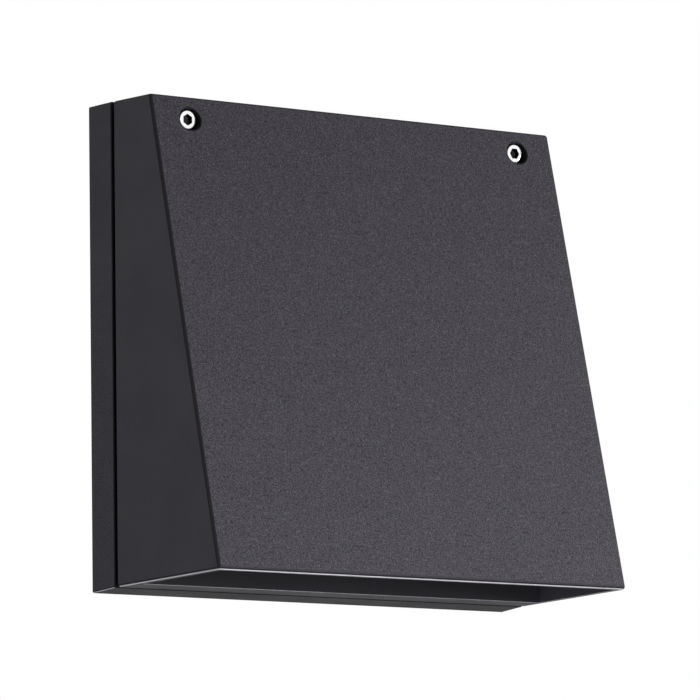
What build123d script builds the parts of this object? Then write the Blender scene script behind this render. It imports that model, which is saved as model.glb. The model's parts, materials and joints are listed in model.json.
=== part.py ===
from build123d import *
import os
from math import cos, radians, sin

# Shielded wedge-shaped wall light, in millimetres.
# Frame: +Z up, +X to the right as seen from the front, the wall is the plane Y = 0 and the
# front of the light points along -Y. The origin is the middle of the face against the wall.
# "Depth" below means the distance out from the wall, so Y = -depth.

# ---- outline ---------------------------------------------------------------------------
width = 260.6  # at the seam, along the bottom edge
height = 250.5  # at the seam
half_width = width / 2
top = height / 2
bottom = -height / 2
box_depth = 18.7  # cast box against the wall
gap = 2.5  # shadow gap between the box and the housing
housing_start = box_depth + gap
seam = box_depth + gap / 2  # depth at which width and height are measured
face_depth_top = 53.6
face_depth_bottom = 109.9
top_fall = 1.05  # the top face falls this much towards the front
underside_rise = 1.15  # the underside rises this much towards the front
top_taper = 1.8  # each side is this much narrower at the top
housing_side_draft = 1.5 / 90  # sides of the housing lean in towards the front
box_side_draft = 1.2 / seam  # sides of the box spread towards the wall
box_bottom_draft = 1.2 / seam  # and so does its underside
edge_radius = 1.8  # housing: edges of the front face and of the underside
top_edge_radius = 1.5  # housing: edges of the top
box_edge_radius = 1.2
seam_edge_radius = 0.6  # both sides of the shadow gap
opening_edge_radius = 0.5
pocket_edge_radius = 0.3

# ---- small screws: radii, and heights of the heads -----------------------------------------
m4_shank = 1.9
m4_head_radius = 3.8
m4_head_height = 2.5
m4_tapped = 1.95
m4_clear = 2.1
m3_shank = 1.4
m3_head_radius = 2.75
m3_head_height = 1.6
m3_tapped = 1.45
m3_clear = 1.6
driver_slot_width = 0.8  # slot in a pan head
driver_slot_depth = 0.9
past = 1.0  # a cutter runs this far past the face that it opens

# ---- housing: walls, light shaft and gear space ------------------------------------------
skin = 4.0  # front wall, and the side walls of the light shaft
rim = 9.5  # side and top walls of the gear space and of the box
bottom_rim = 13.5  # their bottom wall, which also holds the hinge
shaft_rear = 38.75  # depth of the light shaft's rear wall
partition = 3.0
web_top = -30.0  # web between the gear space and the light chamber
web_bottom = -36.0
ledge = -75.0  # the glass presses up against this ledge
chamber_half_width = 102.0
chamber_rear = 45.5
chamber_front = 88.5

# ---- seal and hinge ----------------------------------------------------------------------
seal_inset = 3.5
seal_bottom_inset = 8.5
seal_width = 3.0
seal_groove = 1.0
pivot_depth = housing_start + 1.2
pivot_z = bottom + 4.4
hinge_x = 85.0
pin_radius = 1.25
pin_length = 27.0
hook_width = 14.0
hook_inner = pin_radius + 0.05
hook_outer = 2.3
hook_play = 0.05  # between the hook's strip and its slot in the box
hook_start = 5.0  # the strip is held in the box from this depth on
hook_tip = 0.9  # the hook's tip ends this far above the pin's axis
tilt_room = radians(31)  # the housing tilts 30 degrees
pin_room = 0.35  # round the hook, in the housing's pocket for it
swing_room = 0.25  # under the hook's strip when the housing is tilted
side_room = 0.5

# ---- captive screws (M6 x 35, socket head) -----------------------------------------------
screw_x = 105.0
screw_z = 112.4
head_recess = 2.4  # head top below the front face, on the screw's axis
head_radius = 5.0
head_height = 6.0
hex_across_flats = 5.0
hex_depth = 3.2
screw_length = 35.0
shank_radius = 2.95
thread_radius = 2.675  # pitch radius stands for the male thread
thread_length = 18.0
insert_bore = 3.0  # major radius stands for the female thread
insert_radius = 4.0
insert_length = 12.0
boss_radius = 9.5
clearance_radius = 3.3
pocket_width = 13.3
pocket_height = 11.2
pocket_drop = 0.2  # the pocket's middle lies this far below the screw's axis
pocket_cut = 20.0  # the pocket's cutter reaches this far forward of the seat
head_chamfer = 0.5
thread_chamfer = 0.6
waist_radius = 2.3  # the retaining ring sits here
waist_play = 0.05
washer_thickness = 1.2
washer_radius = 4.9
washer_play = 0.1
ring_radius = 4.3
ring_play = 0.05
ring_thickness = 1.0
ring_depth = housing_start + 1.0
screw_travel = 7.0
travel_spare = 0.1
counterbore_radius = 4.6

# ---- glass and light source --------------------------------------------------------------
glass_thickness = 5.0
glass_half_width = 106.0
glass_rear = 42.0
glass_front = 92.0
glass_corner = 3.0
seal_lip = 1.5
frame_thickness = 2.0
frame_half_width = 124.0
frame_rear = 39.4
frame_front = 94.4
frame_screw_x = 115.5
frame_screw_depths = (50.0, 84.0)
frame_screw_length = 20.0
frame_hole = 2.2
frame_spacer = 4.0  # radius of the spacers that stop the frame from crushing the seal
frame_corner = 3.0
board_half_length = 92.0
board_rear = 54.0
board_front = 80.0
board_thickness = 1.6
pad_thickness = 0.5
led_size = 3.0
led_height = 0.8
led_step = 22.0
led_per_row = 8
led_rows = (61.0, 73.0)
board_screw_xs = (-66.0, -22.0, 22.0, 66.0)
board_screw_length = 7.0
board_plug_half = 5.0  # connector on the LED board
board_plug_start = 85.6
board_plug_end = 91.6
board_plug_height = 5.0
board_lead_drop = 2.8  # the leads meet the connector this far below the board
reflector_sheet = 0.8
reflector_base_half_width = 82.0
reflector_base_rear = 56.0
reflector_base_front = 78.0
reflector_mouth_half_width = 101.0
reflector_mouth_rear = 46.4
reflector_mouth_front = 87.6
reflector_overlap = 0.4  # the mouth stops this far above the ledge
window_play = 0.3  # round each LED, in the reflector

# ---- driver ------------------------------------------------------------------------------
driver_half_length = 60.0
driver_rear = 38.0
driver_front = 78.0
driver_height = 21.0
driver_wall = 1.8
ear_length = 11.0
ear_half_width = 8.0
ear_thickness = 3.0
ear_overlap = 0.5  # the ear runs this far into the case's wall
driver_corner = 2.0
driver_screw_length = 7.0
board_play = 0.3  # round the converter's board, in the case
board_lift = 2.0  # from the case's floor up to the converter's board
tapped_depth = 4.0  # of the screw holes in the web; the drill's tip adds a little
grommet_x = 97.0  # leads to the LED board pass down through the web here
grommet_neck = 3.2
grommet_flange = 4.6
grommet_lip = 1.5
lead_offset = 1.4  # each of the two leads lies this far from the grommet's middle
lead_height = 13.0  # the board leads leave the driver this far above the web
earth_x = 90.0  # earth screw of the housing
earth_depth = 50.0
earth_washer_thickness = 1.4
lug_thickness = 1.0
lug_radius = 4.2
lug_half_width = 1.6
earth_screw_length = 6.0

# ---- box against the wall ----------------------------------------------------------------
back_plate = 3.0
box_inner_half_width = 118.5
fixing_x = 100.0
fixing_z = 75.0
fixing_radius = 2.75
entry_x = 45.0
entry_z = -60.0
entry_radius = 11.0
cable_radius = 5.25
plug_recess = 0.3  # the rubber stays this far off the wall
plug_flange = 2.5
sleeve_radius = 9.0
sleeve_taper = 12.0  # degrees
sleeve_length = 7.0
fixing_seal_radius = 6.5
fixing_seal_thickness = 1.5

# terminal block
pole_pitch = 12.0
poles = 3
block_x = -50.0  # left end
block_z = 38.0  # lower end
block_length = 34.0
block_height = 20.0
block_front = back_plate + block_height
shoulder_length = 7.0
shoulder_depth = 6.0
clamp_inset = 10.5  # from each end to a clamp screw's axis
clamp_hole = 2.4
clamp_radius = 2.2
clamp_low = back_plate + 9.5
clamp_sunk = 3.0
wire_depth = back_plate + 7.0
wire_hole = 2.0
wire_hole_length = 9.0
groove_half = 0.5
groove_depth = 3.0
fixing_hole = 1.6
fixing_screw = 1.55
fixing_head = 2.6
fixing_head_height = 1.8
fixing_counterbore = 2.8
slot_half = 0.35  # slots of the clamp and fixing screws
slot_depth = 1.0

# earth stud on the back plate, M4
stud_x = 70.0
stud_z = 60.0
stud_length = 11.0
stud_washer_radius = 4.5
stud_washer_thickness = 0.8
nut_height = 3.2
nut_half_width = 3.5
nut_bore = 2.0

# plug and socket between the box and the housing
socket_x = 32.0
socket_z = 37.0
socket_width = 24.0
socket_tall = 14.0
socket_end = 17.0
well_half_width = 10.0
well_half_height = 4.0
well_floor = 10.0
pin_pitch = 6.0
pin_half = 0.6  # radius of a contact pin
pin_start = 8.0
pin_end = 15.5
plug_nose_half_width = 9.5
plug_nose_half_height = 3.5
plug_nose_start = 12.0
plug_body_start = 17.2
plug_body_end = 25.0
plug_hole = 1.15
plug_hole_start = 11.0
plug_hole_end = 18.0
plug_ridges = (19.0, 21.0, 23.0)
plug_ridge_half_length = 8.0
plug_ridge_half_depth = 0.5
plug_ridge_width = 1.0

# leads
lead_radius = 1.1
led_lead_radius = 0.8
lead_bend = 3.0
loop_low = 14.0  # the first supply lead's loop runs at this height
loop_step = 5.0
lead_plane = 31.0  # depth at which the leads run up and down behind the driver
lead_entry = 12.0  # they go into the driver this far above the web
earth_run = 8.0  # the earth lead crosses to the right at this height


# ---- helpers -----------------------------------------------------------------------------
def block(x0, x1, depth0, depth1, z0, z1):
    """A box between two sides, two depths and two heights."""
    middle = Pos((x0 + x1) / 2, -(depth0 + depth1) / 2, (z0 + z1) / 2)
    return middle * Box(x1 - x0, depth1 - depth0, z1 - z0)


def rod(x, z, depth0, depth1, radius):
    """A round bar square to the wall."""
    middle = Pos(x, -(depth0 + depth1) / 2, z)
    return middle * Rot(90, 0, 0) * Cylinder(radius, depth1 - depth0)


def post(x, depth, z0, z1, radius):
    """A round bar that stands upright."""
    return Pos(x, -depth, (z0 + z1) / 2) * Cylinder(radius, z1 - z0)


def bar(x0, x1, depth, z, radius):
    """A round bar along X."""
    return Pos((x0 + x1) / 2, -depth, z) * Rot(0, 90, 0) * Cylinder(radius, x1 - x0)


def side_profile(corners, half):
    """Extrude an outline of (depth, z) corners to both sides."""
    points = [(0, -depth, z) for depth, z in corners]
    face = Face(Wire.make_polygon(points, close=True))
    return extrude(face, amount=half, dir=(1, 0, 0), both=True)


def trim_sides(solid, inset, depth_slope):
    """Cut both sides along planes that lean in by top_taper and by depth_slope."""
    for side in (-1, 1):
        corner = (side * (half_width - inset), -seam, bottom)
        normal = (side, -depth_slope, top_taper / height)
        solid = split(solid, bisect_by=Plane(origin=corner, z_dir=normal), keep=Keep.BOTTOM)
    return solid


def face_depth(z):
    """Depth of the slanted front face at height z."""
    top_edge = top - top_fall
    bottom_edge = bottom + underside_rise
    share = (top_edge - z) / (top_edge - bottom_edge)
    return face_depth_top + share * (face_depth_bottom - face_depth_top)


def inner_depth(z):
    """Depth of the front wall's inner face at height z."""
    fall = top - top_fall - bottom - underside_rise
    slant = ((face_depth_bottom - face_depth_top) ** 2 + fall**2) ** 0.5
    return face_depth(z) - skin * slant / fall


def seal_outline(inset, bottom_inset, depth0, depth1):
    """A solid with the outline of the light, drawn in by the insets."""
    corners = [
        (depth0, bottom + bottom_inset),
        (depth1, bottom + bottom_inset),
        (depth1, top - inset),
        (depth0, top - inset),
    ]
    return trim_sides(side_profile(corners, width), inset, 0)


def lead(points, radius):
    """A wire along (x, depth, z) points with rounded corners."""
    route = [(x, -depth, z) for x, depth, z in points]
    if len(route) > 2:
        path = FilletPolyline(*route, radius=lead_bend)
    else:
        path = Line(*route)
    return sweep(Plane(origin=path @ 0, z_dir=path % 0) * Circle(radius), path=path)


def pan_head_screw(x, depth, head_z, length, shank, head_radius, head_height):
    """A slotted pan head screw driven upwards, its head's upper side at head_z."""
    low = head_z - head_height
    head = post(x, depth, low, head_z, head_radius)
    slot = block(x - head_radius, x + head_radius, depth - driver_slot_width / 2,
                 depth + driver_slot_width / 2, low, low + driver_slot_depth)
    return head + post(x, depth, head_z, head_z + length, shank) - slot


def m4_screw(x, depth, head_z, length):
    return pan_head_screw(x, depth, head_z, length, m4_shank, m4_head_radius, m4_head_height)


def m3_screw(x, depth, head_z, length):
    return pan_head_screw(x, depth, head_z, length, m3_shank, m3_head_radius, m3_head_height)


def m4_down_screw(x, depth, head_z, length):
    """The same M4 screw driven downwards, its head's lower side at head_z."""
    return mirror(m4_screw(x, depth, -head_z, length), about=Plane.XY)


# ---- box against the wall ----------------------------------------------------------------
def make_wall_box():
    outline = [
        (0, bottom - box_bottom_draft * seam),
        (box_depth, bottom - box_bottom_draft * (seam - box_depth)),
        (box_depth, top),
        (0, top),
    ]
    body = trim_sides(side_profile(outline, width), 0, box_side_draft)
    body = fillet(body.edges().filter_by(runs_outward), box_edge_radius)
    body = fillet(body.faces().sort_by(Axis.Y)[0].edges(), seam_edge_radius)
    body -= block(-box_inner_half_width, box_inner_half_width, back_plate, box_depth + past,
                  bottom + bottom_rim, top - rim)
    strip_half = hook_width / 2 + hook_play
    for side in (-1, 1):
        body += rod(side * screw_x, screw_z, back_plate, box_depth, boss_radius)
        body -= rod(side * screw_x, screw_z, box_depth - insert_length, box_depth + past,
                    insert_radius)
        body -= block(side * hinge_x - strip_half, side * hinge_x + strip_half, hook_start,
                      box_depth + past, pivot_z - hook_outer - hook_play,
                      pivot_z - hook_inner + hook_play)
        body -= rod(side * entry_x, entry_z, -past, back_plate + past, entry_radius)
        for level in (-1, 1):
            body -= rod(side * fixing_x, level * fixing_z, -past, back_plate + past,
                        fixing_radius)
    return body


def runs_outward(edge):
    """True for an edge of the box that runs out from the wall, nearly square to it."""
    size = edge.bounding_box().size
    return size.Y > 0.8 * box_depth and max(size.X, size.Z) < 0.2 * box_depth


def make_thread_insert(side):
    x = side * screw_x
    start = box_depth - insert_length
    body = rod(x, screw_z, start, box_depth, insert_radius)
    return body - rod(x, screw_z, start - past, box_depth + past, insert_bore)


def make_hinge_hook(side):
    """Strip that runs forward under the pin and turns up in front of it."""
    left = side * hinge_x - hook_width / 2
    right = left + hook_width
    tail = block(left, right, hook_start, pivot_depth, pivot_z - hook_outer, pivot_z - hook_inner)
    curl = bar(left, right, pivot_depth, pivot_z, hook_outer)
    curl -= bar(left - past, right + past, pivot_depth, pivot_z, hook_inner)
    curl &= block(left, right, pivot_depth, pivot_depth + hook_outer + past,
                  pivot_z - hook_outer - past, pivot_z + hook_tip)
    return tail + curl


def make_entry_plug(x):
    """Rubber plug that closes an entry: a neck in the hole and a flange inside the box."""
    neck = rod(x, entry_z, plug_recess, back_plate, entry_radius)
    return neck + rod(x, entry_z, back_plate, back_plate + plug_flange, entry_radius + plug_flange)


def make_cable_grommet():
    """The same plug with a bore and a tapered sleeve for the supply cable."""
    root = back_plate + plug_flange
    sleeve_plane = Plane(origin=(-entry_x, -root, entry_z), z_dir=(0, -1, 0))
    sleeve = extrude(sleeve_plane * Circle(sleeve_radius), amount=sleeve_length, taper=sleeve_taper)
    body = make_entry_plug(-entry_x) + sleeve
    return body - rod(-entry_x, entry_z, -past, root + sleeve_length + past, cable_radius)


def make_fixing_seals():
    """One sealing washer on the inside of each fixing hole."""
    seals = []
    front = back_plate + fixing_seal_thickness
    for x in (-fixing_x, fixing_x):
        for z in (-fixing_z, fixing_z):
            ring = rod(x, z, back_plate, front, fixing_seal_radius)
            seals.append(ring - rod(x, z, back_plate - past, front + past, fixing_radius))
    return Compound(children=seals)


def pole_centres():
    return [block_x + pole_pitch * (pole + 0.5) for pole in range(poles)]


def clamp_heights():
    return (block_z + clamp_inset, block_z + block_length - clamp_inset)


def make_terminal_block():
    end = block_x + poles * pole_pitch
    block_top = block_z + block_length
    body = block(block_x, end, back_plate, block_front, block_z, block_top)
    for low, high in ((block_z - past, block_z + shoulder_length),
                      (block_top - shoulder_length, block_top + past)):
        body -= block(block_x - past, end + past, block_front - shoulder_depth,
                      block_front + past, low, high)
    for x in pole_centres():
        for z in clamp_heights():
            body -= rod(x, z, wire_depth - past, block_front + past, clamp_hole)
        body -= post(x, wire_depth, block_z - past, block_z + wire_hole_length, wire_hole)
        body -= post(x, wire_depth, block_top - wire_hole_length, block_top + past, wire_hole)
    for x in fixing_centres():
        body -= block(x - groove_half, x + groove_half, block_front - groove_depth,
                      block_front + past, block_z - past, block_top + past)
        body -= rod(x, block_middle(), back_plate - past, block_front + past, fixing_hole)
        body -= rod(x, block_middle(), block_front - groove_depth, block_front + past,
                    fixing_counterbore)
    return body


def fixing_centres():
    """The terminal block is screwed down between its poles."""
    return [x + pole_pitch / 2 for x in pole_centres()[:-1]]


def block_middle():
    return block_z + block_length / 2


def screw_slot(x, z, front):
    """Cutter for a driver slot in the end of a screw that faces forward."""
    half = fixing_head + past
    return block(x - half, x + half, front - slot_depth, front + past, z - slot_half, z + slot_half)


def make_terminal_clamp_screws():
    """Two clamp screws for each pole, slotted."""
    screws = []
    front = block_front - clamp_sunk
    for x in pole_centres():
        for z in clamp_heights():
            screws.append(rod(x, z, clamp_low, front, clamp_radius) - screw_slot(x, z, front))
    return Compound(children=screws)


def make_terminal_fixing_screws():
    screws = []
    seat = block_front - groove_depth
    front = seat + fixing_head_height
    for x in fixing_centres():
        screw = rod(x, block_middle(), back_plate, seat, fixing_screw)
        screw += rod(x, block_middle(), seat, front, fixing_head)
        screws.append(screw - screw_slot(x, block_middle(), front))
    return Compound(children=screws)


def make_earth_stud():
    return rod(stud_x, stud_z, back_plate, back_plate + stud_length, m4_tapped)


def make_earth_washer():
    front = back_plate + stud_washer_thickness
    ring = rod(stud_x, stud_z, back_plate, front, stud_washer_radius)
    return ring - rod(stud_x, stud_z, back_plate - past, front + past, m4_clear)


def make_earth_nut():
    start = back_plate + stud_washer_thickness
    plane = Plane(origin=(stud_x, -start, stud_z), z_dir=(0, -1, 0))
    nut = extrude(plane * RegularPolygon(nut_half_width, 6, major_radius=False), amount=nut_height)
    return nut - rod(stud_x, stud_z, start - past, start + nut_height + past, nut_bore)


def pin_centres():
    return [socket_x + pin_pitch * step for step in (-1, 0, 1)]


def make_connector_socket():
    body = block(socket_x - socket_width / 2, socket_x + socket_width / 2, back_plate, socket_end,
                 socket_z - socket_tall / 2, socket_z + socket_tall / 2)
    body -= block(socket_x - well_half_width, socket_x + well_half_width, well_floor,
                  socket_end + past, socket_z - well_half_height, socket_z + well_half_height)
    for x in pin_centres():
        body -= rod(x, socket_z, pin_start, well_floor + past, pin_half)
    return body


def make_connector_pins():
    return Compound(children=[rod(x, socket_z, pin_start, pin_end, pin_half) for x in pin_centres()])


def make_connector_plug():
    body = block(socket_x - plug_nose_half_width, socket_x + plug_nose_half_width, plug_nose_start,
                 plug_body_start, socket_z - plug_nose_half_height, socket_z + plug_nose_half_height)
    body += block(socket_x - socket_width / 2, socket_x + socket_width / 2, plug_body_start,
                  plug_body_end, socket_z - socket_tall / 2, socket_z + socket_tall / 2)
    for x in pin_centres():
        body -= rod(x, socket_z, plug_hole_start, plug_hole_end, plug_hole)
    for z in (socket_z - socket_tall / 2, socket_z + socket_tall / 2):
        for ridge in plug_ridges:
            body -= block(socket_x - plug_ridge_half_length, socket_x + plug_ridge_half_length,
                          ridge, ridge + plug_ridge_width, z - plug_ridge_half_depth,
                          z + plug_ridge_half_depth)
    return body


def make_supply_lead(number):
    """From one pole of the terminal block, round below, and up into the socket."""
    start_x = pole_centres()[number]
    end_x = pin_centres()[::-1][number]
    low = loop_low + loop_step * number
    start = block_z + wire_hole_length - lead_bend
    points = [(start_x, wire_depth, start), (start_x, wire_depth, low), (end_x, wire_depth, low),
              (end_x, wire_depth, socket_z - socket_tall / 2)]
    return lead(points, lead_radius)


# ---- housing -----------------------------------------------------------------------------
def housing_outline():
    start_bottom = bottom + underside_rise * gap / 2 / (face_depth_bottom - seam)
    start_top = top - top_fall * gap / 2 / (face_depth_top - seam)
    corners = [
        (housing_start, start_bottom),
        (face_depth_bottom, bottom + underside_rise),
        (face_depth_top, top - top_fall),
        (housing_start, start_top),
    ]
    body = trim_sides(side_profile(corners, width), 0, housing_side_draft)
    corners = [edge for edge in body.edges() if edge.center().Y < -housing_start - edge_radius
               and edge.bounding_box().size.Z > height / 2]
    body = fillet(corners, edge_radius)
    body = fillet(outer_edges(body.faces().sort_by(Axis.Z)[-1]), top_edge_radius)
    body = fillet(outer_edges(body.faces().sort_by(Axis.Z)[0]), edge_radius)
    return fillet(body.faces().sort_by(Axis.Y)[-1].edges(), seam_edge_radius)


def outer_edges(face):
    """The edges of the top face or of the underside, but for the one along the seam."""
    rear = face.edges().sort_by(Axis.Y)[-1]
    return [edge for edge in face.edges() if not edge.is_same(rear)]


def gear_space():
    """Open to the wall side: behind the partition, and over the web up to the front wall."""
    roof = top - rim
    floor = bottom + bottom_rim
    behind = shaft_rear - partition
    corners = [
        (housing_start - past, floor),
        (behind, floor),
        (behind, web_top),
        (inner_depth(web_top), web_top),
        (inner_depth(roof), roof),
        (housing_start - past, roof),
    ]
    return trim_sides(side_profile(corners, width), rim, housing_side_draft)


def light_shaft():
    """Open below, from the underside up to the ledge that the glass presses on."""
    low = bottom - past
    corners = [
        (shaft_rear, low),
        (inner_depth(low), low),
        (inner_depth(ledge), ledge),
        (shaft_rear, ledge),
    ]
    return trim_sides(side_profile(corners, width), skin, housing_side_draft)


def hinge_pocket(side):
    """Room for the hook to swing round the pin when the housing tilts."""
    left = side * hinge_x - hook_width / 2 - side_room
    right = left + hook_width + 2 * side_room
    room = hook_outer + pin_room
    reach = hook_outer + swing_room
    mouth = housing_start - past
    start = (pivot_depth + reach * sin(tilt_room), pivot_z - reach * cos(tilt_room))
    run = (start[0] - mouth) / cos(tilt_room)
    end = (mouth, start[1] - run * sin(tilt_room))
    corners = [start, end, (mouth, pivot_z + room), (pivot_depth, pivot_z + room)]
    wedge = Pos((left + right) / 2, 0, 0) * side_profile(corners, (right - left) / 2)
    return wedge + bar(left, right, pivot_depth, pivot_z, room)


def screw_pocket(x):
    """Pocket in the front face down to the washer's seat, and the hole behind it."""
    seat = head_top_depth() - head_height - washer_thickness
    middle = (x, -seat, screw_z - pocket_drop)
    plane = Plane(origin=middle, x_dir=(1, 0, 0), z_dir=(0, -1, 0))
    pocket = extrude(plane * SlotOverall(pocket_width, pocket_height), amount=pocket_cut)
    hole = rod(x, screw_z, housing_start - past, seat + past, clearance_radius)
    stop = ring_depth + ring_thickness + screw_travel + travel_spare
    counterbore = rod(x, screw_z, housing_start - past, stop, counterbore_radius)
    return pocket + hole + counterbore


def head_top_depth():
    return face_depth(screw_z) - head_recess


def opening_edges(body):
    """The four edges where the light shaft comes out of the underside."""
    edges = []
    near = 0.1
    for edge in body.edges():
        middle = edge.center()
        low = middle.Z < bottom + underside_rise + near
        inside = abs(middle.X) < half_width - skin / 2 and -middle.Y > shaft_rear - past
        if low and inside and -middle.Y < face_depth_bottom - skin / 2:
            edges.append(edge)
    return edges


def pocket_edges(body):
    """The rims of the two screw pockets in the front face."""
    edges = []
    near = 0.3
    for edge in body.edges():
        middle = edge.center()
        beside = abs(abs(middle.X) - screw_x) < pocket_width
        level = abs(middle.Z - screw_z) < pocket_height
        if beside and level and abs(-middle.Y - face_depth(middle.Z)) < near:
            edges.append(edge)
    return edges


def seal_groove_ring():
    """The groove that holds the seal in the housing's rear edge."""
    floor = housing_start + seal_groove
    ring = seal_outline(seal_inset, seal_bottom_inset, housing_start - past, floor)
    return ring - seal_outline(seal_inset + seal_width, seal_bottom_inset + seal_width,
                               housing_start - 2 * past, floor + past)


def web_hole(x, depth):
    """Tapped hole in the upper side of the web."""
    return post(x, depth, web_top - tapped_depth - past, web_top + past, m4_tapped)


def frame_screw_hole(x, depth):
    """Tapped hole above the ledge, a little longer than the glass frame's screw needs."""
    reach = frame_screw_length - frame_thickness - glass_thickness - 2 * seal_lip + past
    return post(x, depth, ledge - past, ledge + reach, m4_tapped)


def ear_screw_x():
    return driver_half_length + ear_length / 2


def make_front_housing():
    body = housing_outline() - light_shaft()
    body = fillet(opening_edges(body), opening_edge_radius)
    for side in (-1, 1):
        body -= screw_pocket(side * screw_x)
    body = fillet(pocket_edges(body), pocket_edge_radius)
    body -= gear_space()
    body -= block(-chamber_half_width, chamber_half_width, chamber_rear, chamber_front,
                  ledge - past, web_bottom)
    body -= seal_groove_ring()
    for side in (-1, 1):
        boss = rod(side * screw_x, screw_z, housing_start, face_depth(screw_z), boss_radius)
        boss &= gear_space()
        body += boss
        body -= screw_pocket(side * screw_x)
        body -= hinge_pocket(side)
        body -= make_hinge_pin(side)
        for depth in frame_screw_depths:
            body -= frame_screw_hole(side * frame_screw_x, depth)
        body -= web_hole(side * ear_screw_x(), driver_middle())
    for x in board_screw_xs:
        body -= post(x, board_middle(), web_bottom - past, web_bottom + tapped_depth + past,
                     m3_tapped)
    body -= post(grommet_x, board_middle(), web_bottom - past, web_top + past, grommet_neck)
    body -= web_hole(earth_x, earth_depth)
    return body


def board_middle():
    return (board_rear + board_front) / 2


def driver_middle():
    return (driver_rear + driver_front) / 2


def make_housing_gasket():
    floor = housing_start + seal_groove
    ring = seal_outline(seal_inset, seal_bottom_inset, box_depth, floor)
    return ring - seal_outline(seal_inset + seal_width, seal_bottom_inset + seal_width,
                               box_depth - past, floor + past)


def make_hinge_pin(side):
    half_pin = pin_length / 2
    return bar(side * hinge_x - half_pin, side * hinge_x + half_pin, pivot_depth, pivot_z, pin_radius)


# ---- captive screws ----------------------------------------------------------------------
def make_captive_screw(side):
    x = side * screw_x
    head_top = head_top_depth()
    head_under = head_top - head_height
    tip = head_under - screw_length
    head = rod(x, screw_z, head_under, head_top, head_radius)
    head = chamfer(head.faces().sort_by(Axis.Y)[0].edges(), head_chamfer)
    # the left socket stands on a corner, the right one on a flat
    corner = (0, 0, 1) if side < 0 else (1, 0, 0)
    socket_plane = Plane(origin=(x, -head_top, screw_z), x_dir=corner, z_dir=(0, -1, 0))
    socket = extrude(socket_plane * RegularPolygon(hex_across_flats / 2, 6, major_radius=False),
                     amount=-hex_depth)
    thread = rod(x, screw_z, tip, tip + thread_length, thread_radius)
    thread = chamfer(thread.faces().sort_by(Axis.Y)[-1].edges(), thread_chamfer)
    shank = rod(x, screw_z, tip + thread_length, head_under, shank_radius)
    waist_start = ring_depth - waist_play
    waist_end = ring_depth + ring_thickness + waist_play
    waist = rod(x, screw_z, waist_start, waist_end, head_radius)
    waist -= rod(x, screw_z, waist_start - past, waist_end + past, waist_radius)
    return head + shank + thread - socket - waist


def make_sealing_washer(side):
    x = side * screw_x
    under = head_top_depth() - head_height
    washer = rod(x, screw_z, under - washer_thickness, under, washer_radius)
    return washer - rod(x, screw_z, under - washer_thickness - past, under + past,
                        shank_radius + washer_play)


def make_retaining_ring(side):
    x = side * screw_x
    front = ring_depth + ring_thickness
    ring = rod(x, screw_z, ring_depth, front, ring_radius)
    return ring - rod(x, screw_z, ring_depth - past, front + past, waist_radius + ring_play)


# ---- glass and light source --------------------------------------------------------------
def glass_low():
    return ledge - seal_lip - glass_thickness


def make_safety_glass():
    pane = block(-glass_half_width, glass_half_width, glass_rear, glass_front, glass_low(),
                 glass_low() + glass_thickness)
    return fillet(pane.edges().filter_by(Axis.Z), glass_corner)


def make_glass_gasket():
    """A channel of silicone round the edge of the pane."""
    body = block(-glass_half_width - seal_lip, glass_half_width + seal_lip, glass_rear - seal_lip,
                 glass_front + seal_lip, glass_low() - seal_lip, ledge)
    body = fillet(body.edges().filter_by(Axis.Z), glass_corner + seal_lip)
    body -= make_safety_glass()
    return body - block(-chamber_half_width, chamber_half_width, chamber_rear, chamber_front,
                        glass_low() - seal_lip - past, ledge + past)


def frame_screw_places():
    return [(side * frame_screw_x, depth) for side in (-1, 1) for depth in frame_screw_depths]


def make_glass_frame():
    upper = glass_low() - seal_lip
    lower = upper - frame_thickness
    body = block(-frame_half_width, frame_half_width, frame_rear, frame_front, lower, upper)
    body = fillet(body.edges().filter_by(Axis.Z), frame_corner)
    body -= block(-chamber_half_width, chamber_half_width, chamber_rear, chamber_front,
                  lower - past, upper + past)
    for x, depth in frame_screw_places():
        body += post(x, depth, upper, ledge, frame_spacer)
        body -= post(x, depth, lower - past, ledge + past, frame_hole)
    return body


def make_glass_frame_screws():
    lower = glass_low() - seal_lip - frame_thickness
    return Compound(children=[
        m4_screw(x, depth, lower, frame_screw_length) for x, depth in frame_screw_places()
    ])


def make_thermal_pad():
    pad = block(-board_half_length, board_half_length, board_rear, board_front,
                web_bottom - pad_thickness, web_bottom)
    for x in board_screw_xs:
        pad -= post(x, board_middle(), web_bottom - pad_thickness - past, web_bottom + past, m3_clear)
    return pad


def board_low():
    return web_bottom - pad_thickness - board_thickness


def make_led_board():
    board = block(-board_half_length, board_half_length, board_rear, board_front, board_low(),
                  board_low() + board_thickness)
    for x in board_screw_xs:
        board -= post(x, board_middle(), board_low() - past, board_low() + board_thickness + past,
                      m3_clear)
    return board


def led_places():
    first = -led_step * (led_per_row - 1) / 2
    return [(first + led_step * column, depth) for column in range(led_per_row)
            for depth in led_rows]


def make_leds():
    half = led_size / 2
    return Compound(children=[
        block(x - half, x + half, depth - half, depth + half, board_low() - led_height, board_low())
        for x, depth in led_places()
    ])


def make_board_screws():
    head_z = board_low() - reflector_sheet
    return Compound(children=[
        m3_screw(x, board_middle(), head_z, board_screw_length) for x in board_screw_xs
    ])


def funnel(base, mouth, base_half, mouth_half, base_depths, mouth_depths):
    """A solid that widens from a rectangle at height base to a larger one at height mouth."""
    sections = []
    for z, half, (rear, front) in ((base, base_half, base_depths), (mouth, mouth_half, mouth_depths)):
        points = [(-half, -rear, z), (half, -rear, z), (half, -front, z), (-half, -front, z)]
        sections.append(Face(Wire.make_polygon(points, close=True)))
    return loft(sections, ruled=True)


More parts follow.
